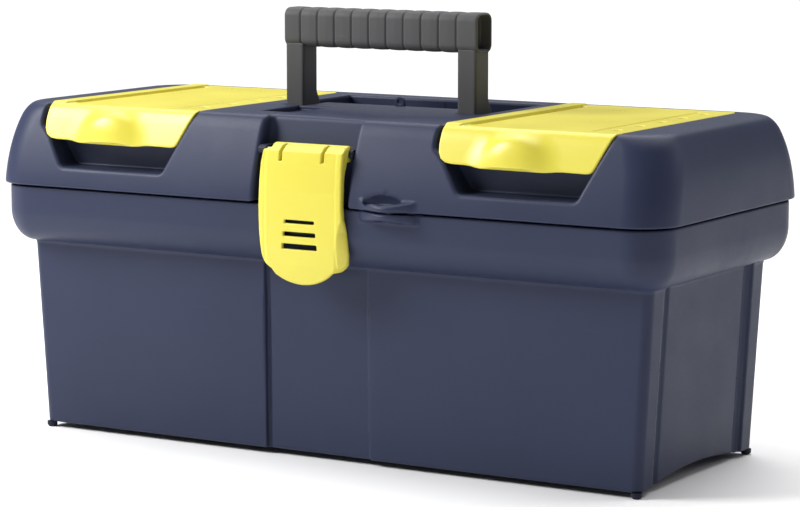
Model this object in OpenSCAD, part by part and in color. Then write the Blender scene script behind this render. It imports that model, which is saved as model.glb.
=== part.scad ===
// Moulded hand toolbox: a tapering tub with a wide shoulder band, a domed lid with two
// organisers in its top, a fold-down carrying handle, a front latch and a lift-out tray.
// Length runs along X, the front faces -Y, and the four feet stand on z = 0.

/* [Overall] */
// Length over the lid's rim
box_length = 406; // [390:2:420]
// Width over the lid's rim
box_width = 174; // [170:1:182]
// Height of the tub's rim
tub_height = 135.5; // [132:0.5:140]
// Height of the closed lid's top
lid_top = 180; // [178:0.5:184]
// General wall thickness
wall = 2.4; // [2:0.1:3]

/* [Tub] */
// How far the lid's rim stands out past the tub's band
rim_overhang = 2.4; // [2:0.2:3]
// Inward step from the band to the end walls
shoulder_end = 12; // [10:0.5:14]
// Inward step from the band to the long walls
shoulder_side = 17; // [16:0.2:18]
// Height of the crease under the band
crease_z = 104; // [100:0.5:106]
// Height of the band's rounded shoulder
shoulder_rise = 18; // [16:0.5:20]
// Narrowing of each end wall from the crease to the foot
end_taper = 6; // [4:0.2:8]
// Narrowing of each long wall from the crease to the foot
side_taper = 1.4; // [1:0.1:2]
// Depth of the sunken wall panels
panel_depth = 1.6; // [1:0.1:2]
// Width of the corner posts beside the end panels
post_w = 15; // [12:0.5:18]
// Height of the feet
foot_h = 3; // [2:0.5:4]
// Height of the ledge that carries the tray
ledge_z = 110; // [109:0.5:112]

/* [Lid] */
// Inward slope of the lid's ends from rim to top
lid_slope_end = 7.6; // [6:0.2:10]
// Inward slope of the lid's long sides from rim to top
lid_slope_side = 13; // [11:0.2:15]
// Height over which the lid's top edge is rounded
lid_edge = 8; // [6:0.5:9]

/* [Organisers] */
// Distance of each organiser's centre from the middle
organiser_x = 123; // [122:0.5:124]
// Width of an organiser lid
organiser_w = 95.8; // [90:0.2:97]
// Height of the organiser bins' floor
bin_floor = 150; // [149:0.5:155]

/* [Handle] */
// Width over the handle's legs
handle_w = 118.2; // [112:0.2:118.2]
// Height of the top of the raised grip
grip_top = 232; // [226:0.5:233]
// Height of the handle's pivot
pivot_z = 172; // [171.5:0.1:172.5]

/* [Latch] */
// Width of the latch at its hinge
latch_w = 48.8; // [44:0.2:48.8]
// Height of the latch's hinge pin
latch_z = 163; // [160:0.5:164]
// Height of the latch's lower tip
latch_tip = 95; // [93:0.5:98]

/* [Tray] */
// Depth of the tray
tray_depth = 47; // [40:1:60]
// Height of the tray's top edge
tray_top = 131; // [126:0.5:131]

/* [Hidden] */
$fn = 48;

skin = 0.3;
gap = 0.5;
running = 0.05;
far = 2 * box_length;

rim_hx = box_length / 2;
rim_hy = box_width / 2;
band_hx = rim_hx - rim_overhang;
band_hy = rim_hy - rim_overhang;
wall_hx = band_hx - shoulder_end;
wall_hy = band_hy - shoulder_side;
foot_hx = wall_hx - end_taper;
foot_hy = wall_hy - side_taper;
wall_r = 5;
band_r = 21;
tub_inset = wall + panel_depth;
floor_under = foot_h + 4.5;
floor_top = floor_under + wall;
panel_left = -36;
panel_right = 27;
arch_rise = 4;
arch_half = foot_hy - post_w - 3;
arch_r = (arch_half * arch_half + arch_rise * arch_rise) / (2 * arch_rise);
foot_r = 2.8;
foot_in = 2.4;

lid_z0 = tub_height + 0.8;
lid_h = lid_top - lid_z0;
bulge_end = 3;
bulge_side = 1.35;
lid_r = 22;
lid_levels = [0, 0.16, 0.34, 0.5, 0.64, 0.76, 0.86, 0.92, 0.97, 1];

eye_x = 50.8;
eye_half = 17.6;
eye_front = rim_hy + 7.1;
eye_sag = eye_front - band_hy;
eye_r = (eye_half * eye_half + eye_sag * eye_sag) / (2 * eye_sag);
eye_lower = 5;
eye_upper = 5;
eye_seat = rim_hy - 3.8;
shackle_r = 3;
shackle_x = 49.5;
shackle_y = eye_front - shackle_r - 2.7;
eye_scoop_r = 10;
eye_scoop_h = 4;
eye_scoop_deep = 2.9;

knuckle_r = 3.9;
hinge_y = eye_front - knuckle_r;
hinge_z = tub_height + 0.4;
hinge_pin_r = 1.6;
hinge_x = 110;
knuckle_w = 12;
knuckle_step = knuckle_w + gap;
bracket_drop = 8;

recess_left = -30.6;
recess_right = 26.6;
recess_top_y = rim_hy - 20;
recess_low_y = rim_hy - 10;
latch_mid = -0.8;
latch_left = latch_mid - latch_w / 2;
latch_right = latch_mid + latch_w / 2;
latch_y = rim_hy - 8;
barrel_r = 4.2;
ear_r = 2.4;
latch_pin_r = 1.5;
latch_face = rim_hy + 2.4;
latch_back = rim_hy;
flange_back = band_hy + 0.8;
flange_t = 2;
shoulder_z = latch_tip + 8;
tongue_half = 20;
tongue_r = (tongue_half * tongue_half + 64) / 16;
slot_z = 127;
slot_pitch = 6;
slot_x = -0.6;
slit_w = 1.6;
keeper_z = 121.4;
keeper_h = 4;
keeper_out = 1.3;

organiser_half = organiser_w / 2;
plate_t = 2.4;
plate_seat = lid_top - plate_t - 0.2;
organiser_axis_y = rim_hy - 21.5;
organiser_barrel_r = 2.9;
organiser_axis_z = lid_top - organiser_barrel_r;
organiser_pin_r = 1.2;
scoop_low = 147;
scoop_low_half = 33;
scoop_mid = 162;
scoop_mid_left = -42.9;
scoop_upright = 169;
scoop_back = rim_hy - 18.4;
flap_low = 161;
flap_low_left = -41.3;
flap_low_right = 39.1;
flap_upright = 169.3;
flap_corner = 3;
bin_half = organiser_half - 1.4;
bin_front = scoop_back - 2.2;
bin_rear = organiser_axis_y - 5.1;
bin_wall = 1.6;
well_under = lid_top - 9;
divider_t = 1.4;
thumb_r = 16.5;
thumb_x = -4;

leg_t = 11.8;
handle_half = handle_w / 2;
leg_in = handle_half - leg_t;
leg_r = 7;
heel = 3.4;
heel_h = 14;
pivot_y = -5;
handle_pin_r = 2.5;
grip_h = 21;
grip_z = grip_top - grip_h;
grip_front = -12.5;
grip_back = 4;
grip_groove = 1.2;
grip_pitch = 10.5;
grip_collar = 0.8;
trough_floor = 161;
trough_half = handle_half + 2.4;
trough_rear = grip_top - pivot_z + pivot_y + 2.5;
trough_step = 10;
slot_front = pivot_y - leg_r - 0.8;
slot_inner = leg_in - 0.4;
trough_wall = 2.2;

tray_floor = tray_top - tray_depth;
tray_gap = 1.2;
tray_wall = 1.8;
tray_flange_t = 2;
tray_flange_z = ledge_z + 0.3;
tray_flange_hx = band_hx - 7.5;
tray_flange_hy = band_hy - 9;
tray_hx = wall_hx - tub_inset - tray_gap;
tray_hy = wall_hy - tub_inset - tray_gap;
tray_cell = 62;
tray_handle_half = 60;

function along(a, b, t) = a + (b - a) * t;
function wall_half_x(z) = along(foot_hx, wall_hx, z / crease_z);
function wall_half_y(z) = along(foot_hy, wall_hy, z / crease_z);
function shoulder_at(z) = sin(acos(1 - (z - crease_z) / shoulder_rise));
function edge_cut(u) =
  let (w = 1 - lid_edge / lid_h)
  u <= w ? 0 : lid_edge * (1 - sqrt(max(0, 1 - pow((u - w) / (1 - w), 2))));
function lid_half_x(u) = rim_hx - lid_slope_end * pow(u, bulge_end) - 0.6 * edge_cut(u);
function lid_half_y(u) = rim_hy - lid_slope_side * pow(u, bulge_side) - 0.3 * edge_cut(u);

module rrect(hx, hy, r) {
  square([2 * hx, 2 * (hy - r)], center = true);
  square([2 * (hx - r), 2 * hy], center = true);
  for (sx = [-1, 1])
    for (sy = [-1, 1])
      translate([sx * (hx - r), sy * (hy - r)]) circle(r);
}

module slice(z, hx, hy, r) {
  translate([0, 0, z]) linear_extrude(skin) rrect(hx, hy, r);
}

// Straight bar along X whose section is drawn in Y and Z
module bar_x(x0, x1) {
  translate([x0, 0, 0]) rotate([90, 0, 90]) linear_extrude(x1 - x0) children();
}

// Plate facing the front whose outline is drawn in X and Z, from y0 towards -Y
module plate_y(y0, t) {
  translate([0, y0, 0]) rotate([90, 0, 0]) linear_extrude(t) children();
}

module rod_x(x0, x1, y, z, r) {
  translate([x0, y, z]) rotate([0, 90, 0]) cylinder(h = x1 - x0, r = r);
}

module box(x0, x1, y0, y1, z0, z1) {
  translate([x0, y0, z0]) cube([x1 - x0, y1 - y0, z1 - z0]);
}

// ---- tub ----

module wall_solid(inset, z0, z1) {
  r = max(3, wall_r - inset);
  hull() {
    slice(z0, wall_half_x(z0) - inset, wall_half_y(z0) - inset, r);
    slice(z1 - skin, wall_half_x(z1) - inset, wall_half_y(z1) - inset, r);
  }
}

module band_solid() {
  hull() {
    for (a = [0 : 15 : 90])
      slice(crease_z + shoulder_rise * (1 - cos(a)), wall_hx + shoulder_end * sin(a),
        wall_hy + shoulder_side * sin(a), along(wall_r, band_r, sin(a)));
    slice(tub_height - skin, band_hx, band_hy, band_r);
  }
}

module band_hollow() {
  f = shoulder_at(ledge_z);
  hull() {
    slice(ledge_z, wall_hx + shoulder_end * f - wall, wall_hy + shoulder_side * f - wall,
      along(wall_r, band_r, f) - wall);
    slice(crease_z + shoulder_rise, band_hx - wall, band_hy - wall, band_r - wall);
    slice(tub_height + 1, band_hx - wall, band_hy - wall, band_r - wall);
  }
}

module tub_shell() {
  color([0.16, 0.17, 0.27])
  difference() {
    union() {
      difference() {
        wall_solid(0, foot_h, crease_z + 4);
        box(panel_left, panel_right, -far, 0, 0, crease_z + 5);
        for (s = [-1, 1])
          translate([s * rim_hx, 0, 0])
            cube([2 * (rim_hx - foot_hx + 20), 2 * (foot_hy - post_w), 2 * crease_z + 10], center = true);
      }
      wall_solid(panel_depth, foot_h, crease_z + 4);
      band_solid();
    }
    wall_solid(tub_inset, floor_top, ledge_z + 1);
    band_hollow();
    box(-(foot_hx - 14), foot_hx - 14, -(foot_hy - tub_inset), foot_hy - tub_inset, 0, floor_under);
    box(-(foot_hx - tub_inset), foot_hx - tub_inset, -(foot_hy - 14), foot_hy - 14, 0, floor_under);
    for (s = [-1, 1])
      translate([s * rim_hx, 0, foot_h + arch_rise - arch_r])
        rotate([0, 90, 0]) cylinder(h = 3 * (rim_hx - foot_hx), r = arch_r, center = true, $fn = 240);
  }
}

module tub_feet() {
  color([0.13, 0.14, 0.22])
  for (sx = [-1, 1])
    for (sy = [-1, 1])
      translate([sx * (foot_hx - foot_in), sy * (foot_hy - foot_in), 0]) {
        cylinder(h = 1, r1 = foot_r - 1, r2 = foot_r, $fn = 32);
        translate([0, 0, 1]) cylinder(h = foot_h - 1, r = foot_r, $fn = 32);
      }
}

module tub_knuckles() {
  color([0.15, 0.16, 0.25])
  for (s = [-1, 1])
    for (k = [-1, 1])
      knuckle(s * hinge_x + k * knuckle_step, hinge_pin_r, band_hy, tub_height, -bracket_drop);
}

// One hinge knuckle with the web that joins it to a wall at y = root
module knuckle(x, bore, root, top, drop) {
  difference() {
    union() {
      rod_x(x - knuckle_w / 2, x + knuckle_w / 2, hinge_y, hinge_z, knuckle_r);
      bar_x(x - knuckle_w / 2, x + knuckle_w / 2)
        polygon([[root, top], [root, top + drop], [hinge_y, hinge_z + sign(drop) * knuckle_r],
          [hinge_y, hinge_z], [hinge_y - knuckle_r + 0.6, top]]);
    }
    rod_x(x - knuckle_w, x + knuckle_w, hinge_y, hinge_z, bore);
  }
}

module hinge_pins() {
  color([0.7, 0.7, 0.72])
  for (s = [-1, 1])
    rod_x(s * hinge_x - 1.5 * knuckle_step, s * hinge_x + 1.5 * knuckle_step, hinge_y, hinge_z,
      hinge_pin_r);
}

module latch_keeper() {
  color([0.15, 0.16, 0.25])
  bar_x(latch_mid - 14, latch_mid + 14)
    polygon([[-band_hy, keeper_z], [-band_hy, keeper_z + keeper_h],
      [-band_hy - keeper_out, keeper_z + keeper_h - 1.6], [-band_hy - keeper_out, keeper_z + 0.6]]);
}

module eye_plan(seat) {
  intersection() {
    translate([eye_x, eye_r - eye_front]) circle(eye_r, $fn = 96);
    translate([eye_x - eye_r, -eye_front - 1]) square([2 * eye_r, eye_front + 1 - seat]);
  }
}

module eye_tab(z0, z1, seat) {
  translate([0, 0, z0])
    difference() {
      linear_extrude(z1 - z0) eye_plan(seat);
      translate([shackle_x, -shackle_y, -1]) cylinder(h = z1 - z0 + 2, r = shackle_r);
    }
}

module padlock_tab_lower() {
  color([0.17, 0.18, 0.28]) eye_tab(tub_height - eye_lower, tub_height, band_hy);
}

// ---- lid ----

module lid_solid(inset) {
  hull() {
    for (u = lid_levels)
      slice(along(lid_z0, lid_top - inset - skin, u), lid_half_x(u) - inset,
        lid_half_y(u) - inset, lid_r - inset);
    if (inset > 0)
      slice(lid_z0 - 1, rim_hx - inset, rim_hy - inset, lid_r - inset);
  }
}

module latch_bay(back) {
  polygon([[-far, lid_z0 - 1], [-recess_low_y + back, lid_z0 - 1],
    [-recess_top_y + back, lid_top + 1], [-far, lid_top + 1]]);
}

// Front outline of an organiser's finger recess, grown by e
module scoop_outline(e) {
  offset(r = e + 3) offset(delta = -3)
    polygon([[-scoop_low_half, scoop_low], [scoop_low_half, scoop_low],
      [organiser_half + gap, lid_top - 1], [organiser_half + gap, lid_top + 10],
      [-organiser_half - gap, lid_top + 10], [-organiser_half - gap, scoop_upright],
      [scoop_mid_left, scoop_mid]]);
}

module organiser_blocks() {
  for (s = [-1, 1])
    translate([s * organiser_x, 0, 0]) {
      box(-organiser_half - 5, organiser_half + 5, -scoop_back - 1, organiser_axis_y + 6.4,
        well_under, lid_top);
      plate_y(-bin_front, far) scoop_outline(2.2);
    }
}

module organiser_cuts() {
  for (s = [-1, 1])
    translate([s * organiser_x, 0, 0]) {
      plate_y(-scoop_back, far) scoop_outline(0);
      box(-organiser_half - gap, organiser_half + gap, -far, organiser_axis_y, plate_seat, far);
      box(-bin_half, bin_half, -bin_front, bin_rear, 0, far);
      box(-organiser_half - gap, organiser_half + gap, bin_rear - 1, organiser_axis_y + 4,
        organiser_axis_z - 3.7, far);
      rod_x(-organiser_half - 4, organiser_half + 4, organiser_axis_y, organiser_axis_z,
        organiser_pin_r);
    }
}

module trough_blocks() {
  box(-trough_half - trough_wall, trough_half + trough_wall, slot_front - trough_wall,
    trough_rear + trough_wall, trough_floor - trough_wall, lid_top);
}

module trough_cuts() {
  box(-trough_half, trough_half, trough_step, trough_rear, trough_floor, far);
  for (s = [0, 1])
    mirror([s, 0, 0]) box(slot_inner, trough_half, slot_front, trough_rear, trough_floor, far);
  for (s = [0, 1])
    mirror([s, 0, 0])
      rod_x(slot_inner - 8, trough_half + trough_wall - 0.4, pivot_y, pivot_z, handle_pin_r);
  box(-slot_inner + trough_wall, slot_inner - trough_wall, slot_front - 5,
    trough_step - trough_wall, 0, lid_top - wall - 4);
}

module lid_shell() {
  color([0.17, 0.18, 0.28])
  difference() {
    union() {
      difference() {
        lid_solid(0);
        lid_solid(wall);
      }
      intersection() {
        lid_solid(0);
        union() {
          bar_x(recess_left - wall, recess_right + wall) latch_bay(wall);
          box(eye_x - eye_half - 2 * wall, eye_x + eye_half + 2 * wall, -far, -eye_seat + 5.6,
            lid_z0, lid_z0 + eye_upper + eye_scoop_h + wall);
          organiser_blocks();
          trough_blocks();
        }
      }
    }
    bar_x(recess_left, recess_right) latch_bay(0);
    translate([0, 0, lid_z0 - 1]) linear_extrude(eye_upper + 1) eye_plan(eye_seat);
    translate([eye_x - 3, -rim_hy, lid_z0 + eye_upper])
      scale([1, eye_scoop_deep / eye_scoop_r, eye_scoop_h / eye_scoop_r]) sphere(r = eye_scoop_r);
    organiser_cuts();
    trough_cuts();
    for (s = [-1, 1])
      for (k = [-1, 1])
        rod_x(s * hinge_x + k * knuckle_step - knuckle_w / 2 - 0.4,
          s * hinge_x + k * knuckle_step + knuckle_w / 2 + 0.4, hinge_y, hinge_z, knuckle_r + 0.6);
    box(-48, -28, -52, -16, lid_top - 1.4, far);
    translate([20, -44, lid_top + 298.9]) sphere(r = 300, $fn = 180);
  }
}

module lid_knuckles() {
  color([0.15, 0.16, 0.25])
  for (s = [-1, 1])
    knuckle(s * hinge_x, hinge_pin_r + running, rim_hy - 1.6, lid_z0 + 0.2, bracket_drop - 2);
}

module padlock_tab_upper() {
  color([0.18, 0.19, 0.3]) eye_tab(lid_z0, lid_z0 + eye_upper, eye_seat);
}

module latch_ears() {
  color([0.17, 0.18, 0.28])
  difference() {
    for (x = [[recess_left, latch_left - 0.6], [latch_right + 0.6, recess_right]])
      intersection() {
        bar_x(x[0], x[1])
          difference() {
            union() {
              translate([-latch_y, latch_z]) circle(ear_r);
              polygon([[-latch_y, latch_z + ear_r], [-latch_y, latch_z - ear_r],
                [-recess_top_y, latch_z - ear_r - 6], [-recess_top_y, latch_z + ear_r]]);
            }
            translate([-latch_y, latch_z]) circle(latch_pin_r);
          }
        bar_x(x[0], x[1]) latch_bay(0);
      }
  }
}

module latch_pin() {
  color([0.7, 0.7, 0.72]) rod_x(recess_left, recess_right, -latch_y, latch_z, latch_pin_r);
}

module organiser_bin() {
  color([0.15, 0.16, 0.25])
  difference() {
    box(-bin_half, bin_half, -bin_front, bin_rear, bin_floor, plate_seat);
    box(-bin_half + bin_wall, bin_half - bin_wall, -bin_front + bin_wall, bin_rear - bin_wall,
      bin_floor + bin_wall, far);
  }
}

module organiser_bin_left() {
  translate([-organiser_x, 0, 0]) organiser_bin();
}

module organiser_bin_right() {
  translate([organiser_x, 0, 0]) organiser_bin();
}

module bin_dividers() {
  color([0.13, 0.14, 0.22])
  for (s = [-1, 1])
    for (k = [1, 2]) {
      y = along(-bin_front, bin_rear, k / 3);
      translate([s * organiser_x, 0, 0])
        box(-bin_half + bin_wall, bin_half - bin_wall, y - divider_t / 2, y + divider_t / 2,
          bin_floor + bin_wall, plate_seat - 2);
    }
}

module organiser_pins() {
  color([0.7, 0.7, 0.72])
  for (s = [-1, 1])
    rod_x(s * organiser_x - organiser_half - 4, s * organiser_x + organiser_half + 4,
      organiser_axis_y, organiser_axis_z, organiser_pin_r);
}

module handle_pins() {
  color([0.22, 0.22, 0.23])
  for (s = [0, 1])
    mirror([s, 0, 0])
      rod_x(slot_inner - 8, trough_half + trough_wall - 0.4, pivot_y, pivot_z, handle_pin_r);
}

module rear_clip() {
  color([0.17, 0.18, 0.28])
  translate([1, trough_step - 1, lid_top + 2.2])
    rotate([90, 0, 0])
      linear_extrude(1.8)
        difference() {
          union() {
            circle(2.8);
            translate([-2.8, -2.2]) square([5.6, 2.2]);
          }
          circle(1.3);
        }
}

// ---- latch ----

module latch_outline() {
  difference() {
    union() {
      polygon([[latch_left, latch_z + barrel_r], [latch_right, latch_z + barrel_r],
        [latch_right + 2.4, shoulder_z + 5], [latch_right - 0.6, shoulder_z + 1],
        [latch_left + 0.6, shoulder_z + 1], [latch_left - 1.6, shoulder_z + 5]]);
      intersection() {
        translate([latch_mid, latch_tip + tongue_r]) circle(tongue_r, $fn = 72);
        translate([latch_mid - tongue_half - 1, latch_tip - 1])
          square([2 * tongue_half + 2, shoulder_z - latch_tip + 4]);
      }
    }
    for (i = [0 : 2])
      translate([slot_x - (18 + 1.5 * i) / 2, slot_z - i * slot_pitch - (1.8 + 0.5 * i) / 2])
        square([18 + 1.5 * i, 1.8 + 0.5 * i]);
    for (s = [-1, 1])
      translate([slot_x + s * 12.5 - slit_w / 2, latch_z - 3.5]) square([slit_w, far]);
  }
}

module latch_skin() {
  polygon([[-latch_y - 1, latch_z + barrel_r - 0.1], [-latch_y - 3.6, latch_z + 2.2],
    [-latch_face + 1.2, latch_z - 16], [-latch_face, latch_z - 26], [-latch_face, shoulder_z + 12],
    [-latch_face + 1.4, shoulder_z], [-latch_face + 3.4, latch_tip - 1],
    [-latch_back + 3.4, latch_tip - 1], [-latch_back + 1.4, shoulder_z],
    [-latch_back, shoulder_z + 12], [-latch_back, latch_z - 26], [-latch_back + 1.2, latch_z - 16],
    [-latch_y - 1.2, latch_z + 1]]);
}

module latch_flange() {
  polygon([[-latch_y - 3.6, latch_z + 2.2], [-latch_face + 1.2, latch_z - 16],
    [-latch_face, latch_z - 26], [-latch_face, shoulder_z + 12], [-latch_face + 1, shoulder_z + 3],
    [-flange_back, shoulder_z + 3], [-flange_back, lid_z0], [-latch_y - 1, lid_z0 + 10],
    [-latch_y + 2, latch_z - 3.4], [-latch_y, latch_z]]);
}

module front_latch() {
  color([0.98, 0.94, 0.42])
  difference() {
    union() {
      intersection() {
        bar_x(latch_left - 3, latch_right + 3) latch_skin();
        plate_y(0, far) latch_outline();
      }
      intersection() {
        union() {
          bar_x(latch_left - 3, latch_left + flange_t) latch_flange();
          bar_x(latch_right - flange_t, latch_right + 3) latch_flange();
        }
        plate_y(0, far) latch_outline();
      }
      rod_x(latch_left, latch_right, -latch_y, latch_z, barrel_r);
    }
    rod_x(latch_left - 5, latch_right + 5, -latch_y, latch_z, latch_pin_r + running);
  }
}

module latch_hook() {
  color([0.93, 0.88, 0.38])
  bar_x(latch_mid - 12, latch_mid + 12)
    polygon([[-latch_back, keeper_z - 4.8], [-latch_back, keeper_z - 2],
      [-latch_back + 1.2, keeper_z - 2.4], [-latch_back + 1.2, keeper_z - 3.8]]);
}

// ---- organiser lids ----

module flap_outline() {
  offset(r = flap_corner) offset(delta = -flap_corner)
    polygon([[flap_low_left, flap_low], [flap_low_right, flap_low],
      [organiser_half, lid_top - 1], [organiser_half, lid_top + 20],
      [-organiser_half, lid_top + 20], [-organiser_half, flap_upright]]);
}

module organiser_lid(s) {
  color([0.98, 0.94, 0.42])
  difference() {
    union() {
      intersection() {
        difference() {
          lid_solid(0);
          lid_solid(plate_t);
        }
        translate([s * organiser_x, 0, 0])
          difference() {
            plate_y(organiser_axis_y, far) flap_outline();
            for (x = [-38, 30])
              box(x, x + 1.2, -rim_hy + 26, organiser_axis_y - 8, lid_top - 0.7, far);
          }
      }
      translate([s * organiser_x, 0, 0]) {
        rod_x(-organiser_half + 1, organiser_half - 1, organiser_axis_y, organiser_axis_z,
          organiser_barrel_r);
        for (i = [0 : 4])
          translate([38, along(-rim_hy + 36, organiser_axis_y - 18, i / 4), lid_top - 0.4])
            cylinder(h = 0.8, r1 = 2.4, r2 = 1.6, $fn = 24);
      }
    }
    rod_x(-far, far, organiser_axis_y, organiser_axis_z, organiser_pin_r + running);
  }
}

module organiser_lid_left() {
  organiser_lid(-1);
}

module organiser_lid_right() {
  organiser_lid(1);
}

module thumb_lift(s) {
  color([0.96, 0.92, 0.4])
  difference() {
    translate([s * organiser_x + thumb_x, -lid_half_y(0.96) + 2.6, flap_low + 0.6])
      cylinder(h = lid_top - flap_low - 4, r1 = thumb_r, r2 = 3.2, $fn = 64);
    lid_solid(0);
  }
}

module thumb_lift_left() {
  thumb_lift(-1);
}

module thumb_lift_right() {
  thumb_lift(1);
}

// ---- handle ----

module handle_legs() {
  color([0.3, 0.3, 0.31])
  for (s = [0, 1])
    mirror([s, 0, 0])
      difference() {
        union() {
          rod_x(leg_in, handle_half, pivot_y, pivot_z, leg_r);
          box(leg_in, handle_half, pivot_y - leg_r, pivot_y + leg_r, pivot_z, grip_z);
          bar_x(leg_in, handle_half)
            translate([pivot_y, pivot_z])
              polygon([[0, -leg_r + 2], [leg_r + heel, -3], [leg_r + heel, heel_h - 5], [leg_r, heel_h],
                [0, heel_h]]);
        }
        rod_x(leg_in - 1, handle_half + 1, pivot_y, pivot_z, handle_pin_r + running);
      }
}

module grip_section(e) {
  translate([(grip_front + grip_back) / 2, grip_z + grip_h / 2])
    rrect((grip_back - grip_front) / 2 - e, grip_h / 2 - e, 4);
}

module handle_grip() {
  color([0.32, 0.32, 0.33])
  difference() {
    union() {
      bar_x(-handle_half, handle_half) grip_section(0);
      bar_x(-handle_half - grip_collar, handle_half + grip_collar) grip_section(1.2);
    }
    for (i = [-4.5 : 1 : 4.5])
      bar_x(i * grip_pitch - grip_groove / 2, i * grip_pitch + grip_groove / 2)
        difference() {
          translate([grip_front - 5, grip_z - 5])
            square([grip_back - grip_front + 10, grip_h + 10]);
          grip_section(0.9);
        }
    for (s = [0, 1])
      mirror([s, 0, 0])
        box(handle_half - 6, far, grip_front + 3.4, grip_back - 3.4, grip_z + 3.4, grip_top - 3.4);
  }
}

// ---- tray ----

module tray_block(inset, z0, z1) {
  hull() {
    slice(z0, tray_hx - 2 - inset, tray_hy - 1.6 - inset, 8 - inset);
    slice(z1 - skin, tray_hx - inset, tray_hy - inset, 8 - inset);
  }
}

module tray_shell() {
  color([0.27, 0.28, 0.3])
  difference() {
    union() {
      tray_block(0, tray_floor, tray_top);
      translate([0, 0, tray_flange_z])
        linear_extrude(tray_flange_t) rrect(tray_flange_hx, tray_flange_hy, 20);
    }
    tray_block(tray_wall, tray_floor + tray_wall, tray_top + 1);
  }
}

module tray_handle() {
  color([0.27, 0.28, 0.3])
  plate_y(1.5, 3)
    difference() {
      translate([-tray_handle_half, tray_floor + tray_wall])
        square([2 * tray_handle_half, tray_depth - tray_wall]);
      translate([0, tray_top - 17]) rrect(tray_handle_half - 16, 10, 6);
    }
}

module tray_dividers() {
  color([0.27, 0.28, 0.3])
  for (s = [-1, 1])
    box(s * tray_cell - 0.9, s * tray_cell + 0.9, -tray_hy + tray_wall + 1.6,
      tray_hy - tray_wall - 1.6, tray_floor + tray_wall, tray_top - 4);
}

tub_shell();
tub_feet();
tub_knuckles();
hinge_pins();
latch_keeper();
padlock_tab_lower();
lid_shell();
lid_knuckles();
padlock_tab_upper();
latch_ears();
latch_pin();
organiser_bin_left();
organiser_bin_right();
bin_dividers();
organiser_pins();
handle_pins();
rear_clip();
front_latch();
latch_hook();
organiser_lid_left();
organiser_lid_right();
thumb_lift_left();
thumb_lift_right();
handle_legs();
handle_grip();
tray_shell();
tray_handle();
tray_dividers();
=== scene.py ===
import math

import bpy
import numpy as np
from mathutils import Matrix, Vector


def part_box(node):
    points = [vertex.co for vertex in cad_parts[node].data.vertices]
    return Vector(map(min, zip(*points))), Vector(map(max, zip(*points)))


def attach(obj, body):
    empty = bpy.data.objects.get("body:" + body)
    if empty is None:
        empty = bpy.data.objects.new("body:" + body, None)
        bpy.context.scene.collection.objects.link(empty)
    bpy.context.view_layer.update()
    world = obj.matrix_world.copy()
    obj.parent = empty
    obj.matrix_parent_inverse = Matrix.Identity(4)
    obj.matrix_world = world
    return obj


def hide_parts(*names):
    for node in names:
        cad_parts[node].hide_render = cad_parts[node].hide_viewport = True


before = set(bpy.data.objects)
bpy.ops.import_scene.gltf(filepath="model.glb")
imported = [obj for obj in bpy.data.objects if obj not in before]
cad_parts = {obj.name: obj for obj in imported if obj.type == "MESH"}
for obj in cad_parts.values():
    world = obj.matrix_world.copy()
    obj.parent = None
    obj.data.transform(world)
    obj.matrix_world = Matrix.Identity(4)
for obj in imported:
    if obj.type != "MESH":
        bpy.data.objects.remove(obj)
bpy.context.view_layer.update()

# Every shape below is a distance field in millimetres in the CAD frame: negative inside the
# plastic, positive outside. A field is meshed on a grid, its points are pulled onto the surface,
# and the mesh is thinned where it is flat.
MM = 0.001


def size_of(node):
    low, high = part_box(node)
    return np.array(low) / MM, np.array(high) / MM


def middle_of(node):
    low, high = size_of(node)
    return (low + high) / 2


# ---- sizes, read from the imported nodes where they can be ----

TUB_LOW, TUB_HIGH = size_of("tub_shell")
LID_LOW, LID_HIGH = size_of("lid_shell")
LATCH_LOW, LATCH_HIGH = size_of("front_latch")
LATCH_PIN_LOW, LATCH_PIN_HIGH = size_of("latch_pin")
GRIP_LOW, GRIP_HIGH = size_of("handle_grip")
TRAY_LOW, TRAY_HIGH = size_of("tray_shell")
EYE_LOW, EYE_HIGH = size_of("padlock_tab_lower")
COVER_LOW, COVER_HIGH = size_of("organiser_lid_right")
BIN_LOW, BIN_HIGH = size_of("organiser_bin_right")

WALL = 2.4
FAR = 900.0  # past every part

# The tub: tapering walls, and a shoulder band that swells out above the crease.
BAND_X, BAND_Y = TUB_HIGH[0], 84.6
BAND_OUT_X, BAND_OUT_Y = 12, 17
FOOT_H, TUB_TOP = TUB_LOW[2], TUB_HIGH[2]
WALL_X, WALL_Y = BAND_X - BAND_OUT_X, BAND_Y - BAND_OUT_Y
FOOT_X, FOOT_Y = WALL_X - 6, WALL_Y - 1.4
CREASE, SHOULDER_RISE = 104.0, 18.0
WALL_R, BAND_R = 5.0, 21.0
WALL_TOP = CREASE + 6
PANEL_DEPTH, PANEL_LEFT, PANEL_RIGHT = 1.6, -36.0, 27.0
POST, POST_LENGTH = 15.0, 20
GROOVE_LEFT, GROOVE_RIGHT, GROOVE_DEPTH = PANEL_LEFT - 0.2, PANEL_LEFT + 2.0, 0.8
FLUTE_R, FLUTE_OUT, FLUTE_IN = 4.6, 3.45, 4.5
TUB_INSET = WALL + PANEL_DEPTH
FLOOR_UNDER = FOOT_H + 4.5
UNDER_CORNER = 14
ARCH_RISE, ARCH_HALF, ARCH_LENGTH = 4.0, FOOT_Y - POST - 3, 15
ARCH_R = (ARCH_HALF**2 + ARCH_RISE**2) / (2 * ARCH_RISE)
LEDGE = 110.0

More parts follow.
